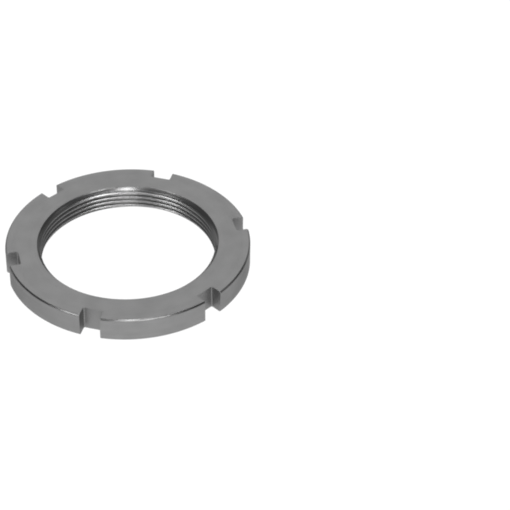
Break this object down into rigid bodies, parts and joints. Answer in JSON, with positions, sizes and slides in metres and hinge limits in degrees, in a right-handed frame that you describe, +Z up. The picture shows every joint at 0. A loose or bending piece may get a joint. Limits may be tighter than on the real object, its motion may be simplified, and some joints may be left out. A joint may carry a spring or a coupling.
{
  "type": "coilover lock ring",
  "caption": "Flat steel lock ring with a fine internal thread, a countersunk upper mouth and square spanner slots in its rim.",
  "frame": {"origin": "middle of the lower face, on the thread's axis", "axes": "+Z up the thread's axis to the countersunk upper face; +X through the middle of one spanner slot"},
  "size_m": [0.0718, 0.072, 0.0074],
  "materials": {
    "turned_steel": "fine-turned and milled bare steel, satin, with brighter burnished chamfers"
  },
  "bodies": {
    "root": {"lock_ring": "turned_steel"}
  },
  "joints": []
}
